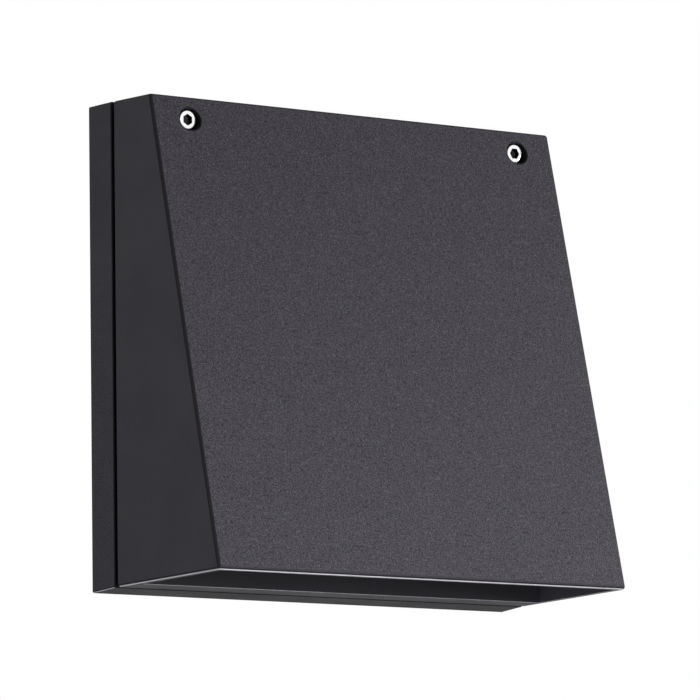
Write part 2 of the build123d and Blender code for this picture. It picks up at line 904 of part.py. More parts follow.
def make_reflector():
    """Folded bright sheet: a base under the board with a window for each LED, flared sides."""
    base = board_low()
    mouth = ledge + reflector_overlap
    sheet = reflector_sheet
    outer = funnel(base, mouth, reflector_base_half_width, reflector_mouth_half_width,
                   (reflector_base_rear, reflector_base_front),
                   (reflector_mouth_rear, reflector_mouth_front))
    inner = funnel(base - sheet, mouth, reflector_base_half_width - sheet,
                   reflector_mouth_half_width - sheet,
                   (reflector_base_rear + sheet, reflector_base_front - sheet),
                   (reflector_mouth_rear + sheet, reflector_mouth_front - sheet))
    body = outer - inner
    half = led_size / 2 + window_play
    for x, depth in led_places():
        body -= block(x - half, x + half, depth - half, depth + half, base - sheet - past,
                      base + past)
    for x in board_screw_xs:
        body -= post(x, board_middle(), base - sheet - past, base + past, m3_clear)
    return body


def make_board_connector():
    return block(board_plug_start, board_plug_end, board_middle() - board_plug_half,
                 board_middle() + board_plug_half, board_low() - board_plug_height, board_low())


# ---- driver and leads on the housing -----------------------------------------------------
def make_driver_case():
    body = block(-driver_half_length, driver_half_length, driver_rear, driver_front, web_top,
                 web_top + driver_height - driver_wall)
    body = fillet(body.edges().filter_by(Axis.Z), driver_corner)
    body -= block(-driver_half_length + driver_wall, driver_half_length - driver_wall,
                  driver_rear + driver_wall, driver_front - driver_wall, web_top + driver_wall,
                  web_top + driver_height)
    for side in (-1, 1):
        inner = side * (driver_half_length - ear_overlap)
        outer = side * (driver_half_length + ear_length)
        ear = block(min(inner, outer), max(inner, outer), driver_middle() - ear_half_width,
                    driver_middle() + ear_half_width, web_top, web_top + ear_thickness)
        body += ear
        body -= post(side * ear_screw_x(), driver_middle(), web_top - past,
                     web_top + ear_thickness + past, m4_clear)
    return body


def make_driver_lid():
    lid_low = web_top + driver_height - driver_wall
    lid = block(-driver_half_length, driver_half_length, driver_rear, driver_front, lid_low,
                lid_low + driver_wall)
    return fillet(lid.edges().filter_by(Axis.Z), driver_corner)


# the converter's round parts: x, radius and height above the board's underside
driver_capacitors = ((-42.0, 5.0, 12.0), (-29.0, 4.0, 10.0), (24.0, 5.0, 12.0), (38.0, 3.0, 9.0))
capacitor_offset = 6.0
# its two chokes and its transformer
choke_xs = (-38.0, 30.0)
choke_half_length = 6.0
choke_offsets = (-12.0, -5.0)
choke_top = 9.0
transformer_ends = (-14.0, 8.0)
transformer_half_width = 11.0
transformer_top = 13.0


def make_driver_board():
    """The converter's board with its main components, cast into the potting."""
    low = web_top + driver_wall + board_lift
    inset = driver_wall + board_play
    upper = low + board_thickness
    middle = driver_middle()
    board = block(-driver_half_length + inset, driver_half_length - inset, driver_rear + inset,
                  driver_front - inset, low, upper)
    board += block(*transformer_ends, middle - transformer_half_width,
                   middle + transformer_half_width, upper, low + transformer_top)
    for x, radius, tall in driver_capacitors:
        board += post(x, middle + capacitor_offset, upper, low + tall, radius)
    for x in choke_xs:
        board += block(x - choke_half_length, x + choke_half_length, middle + choke_offsets[0],
                       middle + choke_offsets[1], upper, low + choke_top)
    return board


def make_driver_potting():
    """Potting compound that fills the case round the board."""
    filling = block(-driver_half_length + driver_wall, driver_half_length - driver_wall,
                    driver_rear + driver_wall, driver_front - driver_wall, web_top + driver_wall,
                    web_top + driver_height - driver_wall)
    return filling - make_driver_board()


def make_driver_screws():
    head_z = web_top + ear_thickness
    return Compound(children=[
        m4_down_screw(side * ear_screw_x(), driver_middle(), head_z, driver_screw_length)
        for side in (-1, 1)
    ])


def make_web_grommet():
    """Rubber grommet that carries the two board leads through the web."""
    middle = board_middle()
    low = web_bottom - grommet_lip
    high = web_top + grommet_lip
    body = post(grommet_x, middle, low, high, grommet_neck)
    for z in (low, web_top):
        body += post(grommet_x, middle, z, z + grommet_lip, grommet_flange)
    for offset in (-lead_offset, lead_offset):
        body -= post(grommet_x, middle + offset, low - past, high + past, led_lead_radius)
    return body


def make_board_lead(offset):
    """From the driver's end, over and down through the web, into the board's connector."""
    depth = board_middle() + offset
    high = web_top + lead_height
    low = board_low() - board_lead_drop
    points = [(driver_half_length, depth, high), (grommet_x, depth, high), (grommet_x, depth, low),
              (board_plug_end, depth, low)]
    return lead(points, led_lead_radius)


def make_driver_input_lead(x):
    """From the plug, forward and down behind the driver, into its rear side."""
    entry = web_top + lead_entry
    points = [(x, plug_body_end, socket_z), (x, lead_plane, socket_z), (x, lead_plane, entry),
              (x, driver_rear, entry)]
    return lead(points, lead_radius)


def lug_low():
    return web_top + earth_washer_thickness


def make_housing_earth_lead():
    """From the plug, across to the right and down to a ring lug under the earth screw."""
    x = pin_centres()[2]
    high = lug_low() + lug_thickness
    wire_z = web_top + 2 * lead_radius
    points = [(x, plug_body_end, socket_z), (x, lead_plane, socket_z), (x, lead_plane, earth_run),
              (earth_x, lead_plane, earth_run), (earth_x, lead_plane, wire_z),
              (earth_x, earth_depth - lug_radius, wire_z)]
    lug = post(earth_x, earth_depth, lug_low(), high, lug_radius)
    lug += block(earth_x - lug_half_width, earth_x + lug_half_width, earth_depth - lug_radius - 2,
                 earth_depth - lug_radius / 2, lug_low(), high)
    lug -= post(earth_x, earth_depth, web_top, high + past, m4_clear)
    return lead(points, lead_radius) + lug


def make_housing_earth_washer():
    ring = post(earth_x, earth_depth, web_top, lug_low(), lug_radius)
    return ring - post(earth_x, earth_depth, web_top - past, lug_low() + past, m4_clear)


def make_housing_earth_screw():
    return m4_down_screw(earth_x, earth_depth, lug_low() + lug_thickness, earth_screw_length)


# ---- every piece under its name ----------------------------------------------------------
pieces = {
    "wall_box": make_wall_box(),
    "cable_grommet": make_cable_grommet(),
    "blind_grommet": make_entry_plug(entry_x),
    "fixing_hole_seals": make_fixing_seals(),
    "terminal_block": make_terminal_block(),
    "terminal_clamp_screws": make_terminal_clamp_screws(),
    "terminal_fixing_screws": make_terminal_fixing_screws(),
    "earth_stud": make_earth_stud(),
    "earth_washer": make_earth_washer(),
    "earth_nut": make_earth_nut(),
    "connector_socket": make_connector_socket(),
    "connector_pins": make_connector_pins(),
    "supply_lead_live": make_supply_lead(0),
    "supply_lead_neutral": make_supply_lead(1),
    "supply_lead_earth": make_supply_lead(2),
    "front_housing": make_front_housing(),
    "housing_gasket": make_housing_gasket(),
    "safety_glass": make_safety_glass(),
    "glass_gasket": make_glass_gasket(),
    "glass_frame": make_glass_frame(),
    "glass_frame_screws": make_glass_frame_screws(),
    "thermal_pad": make_thermal_pad(),
    "led_board": make_led_board(),
    "led_chips": make_leds(),
    "led_board_screws": make_board_screws(),
    "board_connector": make_board_connector(),
    "reflector": make_reflector(),
    "driver_case": make_driver_case(),
    "driver_lid": make_driver_lid(),
    "driver_circuit_board": make_driver_board(),
    "driver_potting": make_driver_potting(),
    "driver_screws": make_driver_screws(),
    "web_grommet": make_web_grommet(),
    "board_lead_positive": make_board_lead(-lead_offset),
    "board_lead_negative": make_board_lead(lead_offset),
    "connector_plug": make_connector_plug(),
    "driver_input_lead_live": make_driver_input_lead(pin_centres()[0]),
    "driver_input_lead_neutral": make_driver_input_lead(pin_centres()[1]),
    "housing_earth_lead": make_housing_earth_lead(),
    "housing_earth_washer": make_housing_earth_washer(),
    "housing_earth_screw": make_housing_earth_screw(),
}
for name, side in (("left", -1), ("right", 1)):
    pieces["thread_insert_" + name] = make_thread_insert(side)
    pieces["hinge_hook_" + name] = make_hinge_hook(side)
    pieces["hinge_pin_" + name] = make_hinge_pin(side)
    pieces["captive_screw_" + name] = make_captive_screw(side)
    pieces["sealing_washer_" + name] = make_sealing_washer(side)
    pieces["retaining_ring_" + name] = make_retaining_ring(side)

os.makedirs("parts", exist_ok=True)
for node, shape in pieces.items():
    export_step(shape, "parts/" + node + ".step")
print(len(pieces), "nodes written")
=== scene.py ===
import math

import bmesh
import bpy
import json
from mathutils import Matrix, Vector


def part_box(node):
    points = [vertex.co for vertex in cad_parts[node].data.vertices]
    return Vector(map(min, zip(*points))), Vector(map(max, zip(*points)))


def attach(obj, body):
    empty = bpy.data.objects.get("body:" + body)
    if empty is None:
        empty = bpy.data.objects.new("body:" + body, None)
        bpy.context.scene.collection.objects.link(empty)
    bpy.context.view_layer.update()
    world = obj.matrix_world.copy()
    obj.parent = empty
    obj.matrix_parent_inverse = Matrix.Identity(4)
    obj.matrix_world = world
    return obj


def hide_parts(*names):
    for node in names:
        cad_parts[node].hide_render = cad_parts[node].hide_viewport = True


# A wedge-shaped wall light, seen from the left and from a little below. All lengths in metres.
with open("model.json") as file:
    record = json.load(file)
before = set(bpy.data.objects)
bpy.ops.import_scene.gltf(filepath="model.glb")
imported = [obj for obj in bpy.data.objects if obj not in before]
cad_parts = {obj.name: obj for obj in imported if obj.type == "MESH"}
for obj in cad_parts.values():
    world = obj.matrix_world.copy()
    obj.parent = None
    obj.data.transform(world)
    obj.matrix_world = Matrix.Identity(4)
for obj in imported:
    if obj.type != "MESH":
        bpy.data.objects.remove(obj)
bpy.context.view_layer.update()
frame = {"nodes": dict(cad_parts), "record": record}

# ---- camera: the place and lens that the photograph was taken with --------------------------
CAMERA_AZIMUTH = math.radians(-35.996)
CAMERA_ELEVATION = math.radians(-7.714)
CAMERA_ROLL = math.radians(-1.125)
CAMERA_DISTANCE = 3.0854
CAMERA_ACROSS = 0.02705
CAMERA_UP = 0.0069
SENSOR = 36.0
FOCAL_IN_FRAMES = 5871.1 / 700


def make_camera():
    forward = Vector((
        -math.sin(CAMERA_AZIMUTH) * math.cos(CAMERA_ELEVATION),
        math.cos(CAMERA_AZIMUTH) * math.cos(CAMERA_ELEVATION),
        -math.sin(CAMERA_ELEVATION),
    ))
    level = Vector((math.cos(CAMERA_AZIMUTH), math.sin(CAMERA_AZIMUTH), 0))
    upright = level.cross(forward)
    right = math.cos(CAMERA_ROLL) * level + math.sin(CAMERA_ROLL) * upright
    up = -math.sin(CAMERA_ROLL) * level + math.cos(CAMERA_ROLL) * upright
    place = -forward * CAMERA_DISTANCE + right * CAMERA_ACROSS + up * CAMERA_UP
    data = bpy.data.cameras.new("camera")
    data.sensor_width = SENSOR
    data.lens = SENSOR * FOCAL_IN_FRAMES
    data.clip_end = 50
    camera = bpy.data.objects.new("camera", data)
    bpy.context.scene.collection.objects.link(camera)
    turned = Matrix((right, up, -forward)).transposed().to_4x4()
    camera.matrix_world = Matrix.Translation(place) @ turned
    bpy.context.scene.camera = camera


make_camera()
bpy.context.scene.view_settings.view_transform = "Standard"


# ---- node helpers -----------------------------------------------------------------------------
def new_material(name):
    material = bpy.data.materials.new(name)
    material.use_nodes = True
    return material


def shader_of(material):
    return material.node_tree.nodes["Principled BSDF"]


def add(material, kind):
    """Add a node to a material, or to anything else that has a node tree."""
    return material.node_tree.nodes.new(kind)


def link(material, source, target):
    material.node_tree.links.new(source, target)


def object_coordinates(material):
    return add(material, "ShaderNodeTexCoord").outputs["Object"]


def noise(material, scale, detail, rough=0.5, source=None):
    """Noise from 0 to 1; scale is in features for each metre."""
    node = add(material, "ShaderNodeTexNoise")
    node.inputs["Scale"].default_value = scale
    node.inputs["Detail"].default_value = detail
    node.inputs["Roughness"].default_value = rough
    link(material, source or object_coordinates(material), node.inputs["Vector"])
    return node.outputs["Fac"]


def ramp(material, source, low, high, low_value, high_value):
    """Map a value between two limits to a range of colours or greys."""
    node = add(material, "ShaderNodeValToRGB")
    first, second = node.color_ramp.elements
    first.position = low
    second.position = high
    first.color = (*low_value, 1)
    second.color = (*high_value, 1)
    link(material, source, node.inputs["Fac"])
    return node.outputs["Color"]


def bump(material, source, distance, normal=None):
    """Raise the surface by up to distance, on top of another bump where one is given."""
    node = add(material, "ShaderNodeBump")
    node.inputs["Distance"].default_value = distance
    link(material, source, node.inputs["Height"])
    if normal is not None:
        link(material, normal, node.inputs["Normal"])
    return node.outputs["Normal"]


def grey(value):
    return (value, value, value)


def surface_normal(material):
    """The three components of the surface's direction, as plain values."""
    coordinates = add(material, "ShaderNodeTexCoord")
    parts = add(material, "ShaderNodeSeparateXYZ")
    link(material, coordinates.outputs["Normal"], parts.inputs["Vector"])
    return parts.outputs


def surface_place(material):
    """The three coordinates of the surface's points."""
    parts = add(material, "ShaderNodeSeparateXYZ")
    link(material, object_coordinates(material), parts.inputs["Vector"])
    return parts.outputs


def maths(material, operation, first, second=0.0, third=0.0):
    """A Math node; each input is a number or another node's output."""
    node = add(material, "ShaderNodeMath")
    node.operation = operation
    for place, value in enumerate((first, second, third)):
        if isinstance(value, float):
            node.inputs[place].default_value = value
        else:
            link(material, value, node.inputs[place])
    return node.outputs["Value"]


def blend_colours(material, factor, first, second):
    """Mix two colours; each is a colour or another node's output."""
    node = add(material, "ShaderNodeMix")
    node.data_type = "RGBA"
    inputs = [socket for socket in node.inputs if socket.type == "RGBA"]
    for socket, value in zip(inputs, (first, second)):
        if isinstance(value, tuple):
            socket.default_value = (*value, 1)
        else:
            link(material, value, socket)
    link(material, factor, node.inputs["Factor"])
    return [socket for socket in node.outputs if socket.type == "RGBA"][0]


def seen_directly(material):
    """1 where the camera, a reflection or glass looks at this, and 0 for the light that it gives."""
    path = add(material, "ShaderNodeLightPath")
    seen = path.outputs["Is Camera Ray"]
    for ray in ("Is Glossy Ray", "Is Transmission Ray"):
        seen = maths(material, "MAXIMUM", seen, path.outputs[ray])
    return seen


# ---- graphite powder coat ---------------------------------------------------------------------
COAT = (0.0500, 0.0469, 0.0574)
# speckle colours: grain, whose light grains are painted glints as well
GRAIN_DARK = (0.0200, 0.0188, 0.0231)
GRAIN_AND_GLINT_LIGHT = (0.0739, 0.0694, 0.0848)
# painted shade on the inner faces that look to the front
PAINTED_INSIDE_SHADE = (0.0235, 0.0221, 0.0270)
# painted shade under the box against the wall
PAINTED_BOX_BOTTOM_SHADE = (0.020, 0.0188, 0.0225)
# painted shade in the screw pockets
PAINTED_POCKET_SHADE = (0.010, 0.0095, 0.0110)
# painted shade on the rounded edges
PAINTED_EDGE_SHADE = (0.014, 0.013, 0.016)
# painted highlight on the lower edges
PAINTED_EDGE_HIGHLIGHT = (0.70, 0.68, 0.73)
# painted shade on the seam's faces
PAINTED_SEAM_SHADE = (0.006, 0.006, 0.007)
GRAIN_SCALE = 1500
GRAIN_HEIGHT = 0.00025
GRAIN_LOW = 0.4  # the stretch of the noise over which a grain turns from dark to light
GRAIN_HIGH = 0.64
FINE_SCALE = 2400
FINE_HEIGHT = 0.00008
GRAIN_ROUGHNESS = 0.6
CLOUD_SCALE = 30
COAT_ROUGH_LOW = 0.50
COAT_ROUGH_HIGH = 0.58
COAT_SPECULAR = 0.1
FACE_FRONT = 0.975  # direction of the slanted face: to the front, and a little up
FACE_UP = 0.222
FLAT = 0.98  # least share of a main direction on the flat faces; less is a rounded edge
# the pale part of a lower edge is a painted highlight
LOW_EDGE = 0.82  # how far down the pale part of a lower edge faces, and how much it may vary
LOW_EDGE_SPREAD = 0.13
SQUARE_TO_FRONT = 0.995
SQUARE = 0.9  # least share of one direction on a face that is square to it
MOTTLE_LOW = 0.3  # the middle of the noise, which every mottled value is spread over
MOTTLE_HIGH = 0.7
SEAM_DEPTH = 0.01995
SEAM_HALF = 0.0020
POCKET_RADIUS = 0.0067
POCKET_DEPTH = 0.012


def speckle_and_edge_shade(material, grains, normal):
    """Speckled on the slanted face and even elsewhere, with painted shade where an edge is rounded; the
    speckle is grain, with painted glints where the face catches the light.
    """
    upward_share = maths(material, "MULTIPLY", normal["Z"], FACE_UP)
    along_face = maths(material, "MULTIPLY_ADD", normal["Y"], -FACE_FRONT, upward_share)
    # grain speckle with painted glints, kept to the slanted face where it catches the light
    grain_and_glints = ramp(material, grains, GRAIN_LOW, GRAIN_HIGH, GRAIN_DARK, GRAIN_AND_GLINT_LIGHT)
    on_face = maths(material, "GREATER_THAN", along_face, FLAT)
    colour = blend_colours(material, on_face, COAT, grain_and_glints)
    flatness = along_face
    for axis in "XYZ":
        square = maths(material, "ABSOLUTE", normal[axis])
        flatness = maths(material, "MAXIMUM", flatness, square)
    # painted shade on the rounded edges
    on_edge = maths(material, "LESS_THAN", flatness, FLAT)
    return blend_colours(material, on_edge, colour, PAINTED_EDGE_SHADE)


def in_screw_pocket(material, place, side):
    """1 within the pocket of one captive screw, and 0 outside it."""
    low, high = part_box("captive_screw_" + side)
    across = maths(material, "SUBTRACT", place["X"], (low[0] + high[0]) / 2)
    upward = maths(material, "SUBTRACT", place["Z"], (low[2] + high[2]) / 2)
    across_squared = maths(material, "MULTIPLY", across, across)
    away_squared = maths(material, "MULTIPLY_ADD", upward, upward, across_squared)
    round_axis = maths(material, "LESS_THAN", away_squared, POCKET_RADIUS ** 2)
    before_floor = maths(material, "LESS_THAN", place["Y"], low[1] + POCKET_DEPTH)
    return maths(material, "MULTIPLY", round_axis, before_floor)


def graphite_coat():
    """Powder coat: grain with painted glints on the slanted face, painted shade round the edges and a
    painted highlight below them, and painted shade on inner faces, under the wall box, in the screw
    pockets and on the seam.
    """
    material = new_material("graphite_coat")
    shader = shader_of(material)
    grains = noise(material, GRAIN_SCALE, 2, GRAIN_ROUGHNESS)
    fine = noise(material, FINE_SCALE, 2, GRAIN_ROUGHNESS)
    cloud = noise(material, CLOUD_SCALE, 3)
    normal = surface_normal(material)
    place = surface_place(material)
    colour = speckle_and_edge_shade(material, grains, normal)
    # lower edges: the part that faces down gets a painted highlight, except at the seam
    near_seam = maths(material, "COMPARE", place["Y"], -SEAM_DEPTH, SEAM_HALF)
    away = maths(material, "SUBTRACT", 1.0, near_seam)
    edge_highlight = maths(material, "COMPARE", normal["Z"], -LOW_EDGE, LOW_EDGE_SPREAD)
    edge_highlight = maths(material, "MULTIPLY", edge_highlight, away)
    colour = blend_colours(material, edge_highlight, colour, PAINTED_EDGE_HIGHLIGHT)
    # painted shade on the inner faces that look squarely to the front
    inner = maths(material, "LESS_THAN", normal["Y"], -SQUARE_TO_FRONT)
    colour = blend_colours(material, inner, colour, PAINTED_INSIDE_SHADE)
    # painted shade on the lower side of the box against the wall
    below = maths(material, "LESS_THAN", normal["Z"], -SQUARE)
    at_wall = maths(material, "GREATER_THAN", place["Y"], -SEAM_DEPTH)
    shaded_box_bottom = maths(material, "MULTIPLY", below, at_wall)
    colour = blend_colours(material, shaded_box_bottom, colour, PAINTED_BOX_BOTTOM_SHADE)
    # painted shade in the two screw pockets
    for side in ("left", "right"):
        in_pocket = in_screw_pocket(material, place, side)
        colour = blend_colours(material, in_pocket, colour, PAINTED_POCKET_SHADE)
    # painted shade on the two faces of the seam
    to_seam = maths(material, "ABSOLUTE", normal["Y"])
    square = maths(material, "GREATER_THAN", to_seam, SQUARE)
    shaded_seam = maths(material, "MULTIPLY", near_seam, square)
    colour = blend_colours(material, shaded_seam, colour, PAINTED_SEAM_SHADE)
    link(material, colour, shader.inputs["Base Color"])
    rough = ramp(material, cloud, MOTTLE_LOW, MOTTLE_HIGH, grey(COAT_ROUGH_LOW), grey(COAT_ROUGH_HIGH))
    link(material, rough, shader.inputs["Roughness"])
    coarse_bump = bump(material, grains, GRAIN_HEIGHT)
    fine_bump = bump(material, fine, FINE_HEIGHT, normal=coarse_bump)
    link(material, fine_bump, shader.inputs["Normal"])
    shader.inputs["Specular IOR Level"].default_value = COAT_SPECULAR
    return material


# ---- other materials ------------------------------------------------------------------------------
STRIPE_SIDE = 0.75  # the earth lead is yellow where its surface faces this far front or back
STRIPE_YELLOW = (0.75, 0.62, 0.04)
LANE_SCALE = 45.0
LANE_GAP = 0.03
LANE_LENGTH = 1.0
LANE_WIDTH = 0.27
LANE_COLOUR = (0.62, 0.62, 0.58)
GLASS_WAVES = 40
GLASS_WAVE_HEIGHT = 0.00001
SCRATCH_STRETCH = 0.04
SCRATCH_SCALE = 4000
SCRATCH_HEIGHT = 0.000008


def plain(name, dark, light, rough_low, rough_high, scale=200.0, metallic=0.0, specular=0.5,
          bump_distance=0.00002):
    """A mottled colour, roughness that varies more broadly, and a slight bump."""
    material = new_material(name)
    shader = shader_of(material)
    mottle = noise(material, scale, 4, 0.6)
    broad = noise(material, scale * 0.3, 3)
    colour = ramp(material, mottle, MOTTLE_LOW, MOTTLE_HIGH, dark, light)
    rough = ramp(material, broad, MOTTLE_LOW, MOTTLE_HIGH, grey(rough_low), grey(rough_high))
    link(material, colour, shader.inputs["Base Color"])
    link(material, rough, shader.inputs["Roughness"])
    link(material, bump(material, mottle, bump_distance), shader.inputs["Normal"])
    shader.inputs["Metallic"].default_value = metallic
    shader.inputs["Specular IOR Level"].default_value = specular
    return material


def earth_insulation():
    """Green with two yellow stripes that run along the lead."""
    material = plain("green_yellow_insulation", (0.05, 0.3, 0.05), (0.06, 0.34, 0.06), 0.3, 0.4)
    shader = shader_of(material)
    green = shader.inputs["Base Color"].links[0].from_socket
    across = maths(material, "ABSOLUTE", surface_normal(material)["Y"])
    striped = maths(material, "GREATER_THAN", across, STRIPE_SIDE)
    colour = blend_colours(material, striped, green, STRIPE_YELLOW)
    link(material, colour, shader.inputs["Base Color"])
    return material


def clear_glass():
    """Toughened glass: nearly colourless, with the faintest waviness."""
    material = new_material("clear_glass")
    shader = shader_of(material)
    waves = noise(material, GLASS_WAVES, 2)
    tint = ramp(material, waves, MOTTLE_LOW, MOTTLE_HIGH, (0.93, 0.96, 0.945), (0.95, 0.975, 0.96))
    link(material, tint, shader.inputs["Base Color"])
    link(material, bump(material, waves, GLASS_WAVE_HEIGHT), shader.inputs["Normal"])
    shader.inputs["Roughness"].default_value = 0.02
    shader.inputs["Transmission Weight"].default_value = 1.0
    shader.inputs["IOR"].default_value = 1.5
    return material


def circuit_board():
    """White solder mask over copper lanes that run along the board."""
    material = plain("white_board", grey(0.76), grey(0.8), 0.3, 0.4, scale=400.0)
    shader = shader_of(material)
    mask = shader.inputs["Base Color"].links[0].from_socket
    lanes = add(material, "ShaderNodeTexBrick")
    lanes.offset = 0.5
    lanes.inputs["Scale"].default_value = LANE_SCALE
    lanes.inputs["Mortar Size"].default_value = LANE_GAP
    lanes.inputs["Brick Width"].default_value = LANE_LENGTH
    lanes.inputs["Row Height"].default_value = LANE_WIDTH
    link(material, object_coordinates(material), lanes.inputs["Vector"])
    gaps = maths(material, "GREATER_THAN", lanes.outputs["Fac"], 0.5)
    link(material, blend_colours(material, gaps, mask, LANE_COLOUR), shader.inputs["Base Color"])
    return material


def satin_metal(name, dark, light, rough_low, rough_high):
    """Turned or rolled metal, with fine scratches that run along X."""
    material = plain(name, dark, light, rough_low, rough_high, scale=600.0, metallic=1.0)
    stretched = add(material, "ShaderNodeMapping")
    stretched.inputs["Scale"].default_value = (SCRATCH_STRETCH, 1.0, 1.0)
    link(material, object_coordinates(material), stretched.inputs["Vector"])
    scratches = noise(material, SCRATCH_SCALE, 2, source=stretched.outputs["Vector"])
    scratched = bump(material, scratches, SCRATCH_HEIGHT)
    link(material, scratched, shader_of(material).inputs["Normal"])
    return material


MATERIALS = {
    "graphite_coat": graphite_coat(),
    "stainless_steel": satin_metal("stainless_steel", grey(0.55), grey(0.66), 0.2, 0.3),
    "silicone_black": plain("silicone_black", grey(0.010), grey(0.016), 0.6, 0.7, specular=0.3),
    "rubber_black": plain("rubber_black", grey(0.015), grey(0.03), 0.6, 0.75, specular=0.3),
    "grey_plastic": plain("grey_plastic", grey(0.3), grey(0.34), 0.4, 0.5),
    "white_plastic": plain("white_plastic", (0.68, 0.68, 0.65), (0.74, 0.74, 0.71), 0.38, 0.46),
    "brass_metal": satin_metal("brass_metal", (0.62, 0.42, 0.14), (0.72, 0.52, 0.2), 0.25, 0.35),
    "red_insulation": plain("red_insulation", (0.42, 0.02, 0.015), (0.5, 0.03, 0.02), 0.3, 0.4),
    "blue_insulation": plain("blue_insulation", (0.02, 0.1, 0.42), (0.03, 0.13, 0.5), 0.3, 0.4),
    "brown_insulation": plain("brown_insulation", (0.15, 0.06, 0.02), (0.2, 0.08, 0.03), 0.3, 0.4),
    "black_insulation": plain("black_insulation", grey(0.015), grey(0.03), 0.3, 0.4),
    "green_yellow_insulation": earth_insulation(),
    "clear_glass": clear_glass(),
    "white_board": circuit_board(),
    "led_phosphor": plain("led_phosphor", (0.8, 0.6, 0.12), (0.85, 0.68, 0.2), 0.4, 0.5, scale=3000.0),
    "bright_aluminium": satin_metal("bright_aluminium", grey(0.74), grey(0.82), 0.15, 0.22),
    "thermal_pad_grey": plain("thermal_pad_grey", grey(0.3), grey(0.36), 0.7, 0.8),
    "potting_black": plain("potting_black", grey(0.02), grey(0.03), 0.3, 0.4),
}
POLISHED = satin_metal("polished_steel", grey(0.9), grey(0.95), 0.12, 0.18)
# painted shade inside the hexagon socket
PAINTED_SOCKET_SHADE = satin_metal("socket_shade_steel", grey(0.012), grey(0.024), 0.4, 0.5)
# painted shade on the head's rounded edge and knurled side
PAINTED_HEAD_SHADE = satin_metal("shaded_knurled_steel", grey(0.10), grey(0.16), 0.3, 0.4)
SLOTS = {entry["node"]: entry["material_slot"] for entry in frame["record"]["subparts"]}
for node, thing in frame["nodes"].items():
    thing.data.materials.clear()
    thing.data.materials.append(MATERIALS[SLOTS[node]])


# ---- captive screws: knurled head, hexagon socket, waist and thread --------------------------------
MM = 0.001
AROUND = 96
HEAD_RADIUS = 5.0 * MM
HEAD_HEIGHT = 6.0 * MM
KNURL = 0.14 * MM
EDGE_ROUND = 0.45 * MM
SOCKET_APOTHEM = 2.5 * MM
SOCKET_CHAMFER = 0.18 * MM
SOCKET_DEPTH = 3.2 * MM
SHANK_RADIUS = 2.95 * MM
WAIST_RADIUS = 2.3 * MM
WAIST_PLAY = 0.05 * MM
THREAD_ROOT = 2.45 * MM
THREAD_CREST = 2.95 * MM
THREAD_LENGTH = 18.0 * MM
THREAD_PITCH = 1.0 * MM
THREAD_STEPS = 8  # rings of points in each turn of the thread
SHARP_ANGLE = math.radians(35)
TIP_RADIUS = 2.2 * MM
TIP_CHAMFER = 0.6 * MM
DRILL_POINT = 0.1 * MM  # radius at the bottom of the socket's drilled cone, and the cone's depth
DRILL_CONE = 1.0 * MM
# the second finish is painted shade in the socket, the third painted shade on the head's rounded edge
# and knurled side
BRIGHT, DARK, SHADED_KNURL = range(3)  # the screw's three finishes, in the order of its materials


def circle(radius):
    return [radius] * AROUND


def knurled(radius):
    """Radii that step in and out by the depth of the knurling."""
    return [radius - KNURL * (step % 2) for step in range(AROUND)]


def hexagon(apothem, corner_turn):
    """Radii of a hexagon whose corner points up (0) or to the side (30 degrees)."""
    radii = []
    for step in range(AROUND):
        angle = (math.tau * step / AROUND + corner_turn) % (math.pi / 3)
        radii.append(apothem / math.cos(angle - math.pi / 6))
    return radii


def thread_ring(depth, share):
    """Radii where the ridge winds past this depth; share fades the thread in and out."""
    radii = []
    for step in range(AROUND):
        turn = (depth / THREAD_PITCH - step / AROUND) % 1.0
        ridge = 1 - abs(2 * turn - 1)
        radii.append(THREAD_ROOT + (THREAD_CREST - THREAD_ROOT) * ridge * share)
    return radii


def screw_rings(node, corner_turn):
    """Rings of (depth, radii, finish) from the tip to the floor of the socket."""
    low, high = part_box(node)
    top = -low[1]
    tip = -high[1]
    under = top - HEAD_HEIGHT
    thread_end = tip + THREAD_LENGTH
    ring_low, ring_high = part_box(node.replace("captive_screw", "retaining_ring"))
    waist_start = -ring_high[1] - WAIST_PLAY
    waist_end = -ring_low[1] + WAIST_PLAY
    rings = [(tip, circle(TIP_RADIUS), BRIGHT)]
    count = round(THREAD_LENGTH / THREAD_PITCH * THREAD_STEPS)
    for number in range(count + 1):
        along = number / count
        depth = tip + TIP_CHAMFER + (THREAD_LENGTH - TIP_CHAMFER) * along
        share = min(1.0, along * count / THREAD_STEPS, (1 - along) * count / THREAD_STEPS)
        rings.append((depth, thread_ring(depth, share), BRIGHT))
    rings.append((thread_end, circle(SHANK_RADIUS), BRIGHT))
    for depth, radius in ((waist_start, SHANK_RADIUS), (waist_start, WAIST_RADIUS),
                          (waist_end, WAIST_RADIUS), (waist_end, SHANK_RADIUS),
                          (under, SHANK_RADIUS), (under, HEAD_RADIUS - 2 * EDGE_ROUND)):
        rings.append((depth, circle(radius), BRIGHT))
    rings.append((under + EDGE_ROUND, knurled(HEAD_RADIUS), SHADED_KNURL))
    rings.append((top - 3 * EDGE_ROUND, knurled(HEAD_RADIUS), SHADED_KNURL))
    for turn in (0, 30, 60, 90):
        angle = math.radians(turn)
        rings.append((top - EDGE_ROUND + EDGE_ROUND * math.sin(angle),
                      circle(HEAD_RADIUS - EDGE_ROUND + EDGE_ROUND * math.cos(angle)), SHADED_KNURL))
    rings.append((top, hexagon(SOCKET_APOTHEM + SOCKET_CHAMFER, corner_turn), BRIGHT))
    # the socket's walls and floor take painted shade
    rings.append((top - SOCKET_CHAMFER, hexagon(SOCKET_APOTHEM, corner_turn), DARK))
    rings.append((top - SOCKET_DEPTH, hexagon(SOCKET_APOTHEM, corner_turn), DARK))
    rings.append((top - SOCKET_DEPTH - DRILL_CONE, circle(DRILL_POINT), DARK))
    return rings


